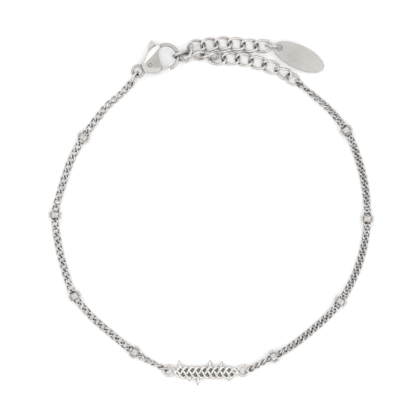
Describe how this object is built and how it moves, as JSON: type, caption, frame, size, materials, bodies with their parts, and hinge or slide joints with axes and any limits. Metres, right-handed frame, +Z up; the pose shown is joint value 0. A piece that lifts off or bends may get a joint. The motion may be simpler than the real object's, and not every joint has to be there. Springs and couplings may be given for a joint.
{
  "type": "nameplate bracelet",
  "caption": "Fine curb chain bracelet with rondelle beads, an openwork front bar, a lobster clasp with a sprung lever, and a link extender with an oval tag.",
  "frame": {"origin": "centre of the bounding box, on the surface that the bracelet lies on", "axes": "+Z up, away from the surface; +Y from the front bar towards the clasp; +X to the right seen from above"},
  "size_m": [0.0584, 0.0628, 0.0029],
  "materials": {
    "polished_steel": "polished stainless steel, slightly worn",
    "satin_steel": "satin"
  },
  "bodies": {
    "bracelet": {"chain_left": "polished_steel", "chain_right": "polished_steel", "name_bar": "polished_steel", "clasp_body": "polished_steel", "clasp_pin": "polished_steel", "clasp_link": "polished_steel", "end_ring": "polished_steel", "tag_ring": "polished_steel", "tag": "satin_steel", "bead_left_1": "polished_steel", "bead_left_2": "polished_steel", "bead_left_3": "polished_steel", "bead_left_4": "polished_steel", "bead_right_1": "polished_steel", "bead_right_2": "polished_steel", "bead_right_3": "polished_steel", "bead_right_4": "polished_steel", "extender_link_1": "polished_steel", "extender_link_2": "polished_steel", "extender_link_3": "polished_steel", "extender_link_4": "polished_steel", "extender_link_5": "polished_steel", "extender_link_6": "polished_steel", "extender_link_7": "polished_steel", "extender_link_8": "polished_steel", "extender_link_9": "polished_steel", "extender_link_10": "polished_steel", "extender_link_11": "polished_steel", "extender_link_12": "polished_steel", "extender_link_13": "polished_steel", "extender_link_14": "polished_steel", "extender_link_15": "polished_steel", "extender_link_16": "polished_steel"},
    "lever": {"clasp_lever": "polished_steel"}
  },
  "joints": [
    {"name": "lever_hinge", "type": "hinge", "parent": "bracelet", "child": "lever", "pos_m": [-0.0109, 0.02614, 0.0012], "axis": [0, 0, 1], "range_deg": [0, 20], "stiffness_Nm_per_rad": 0.004}
  ]
}
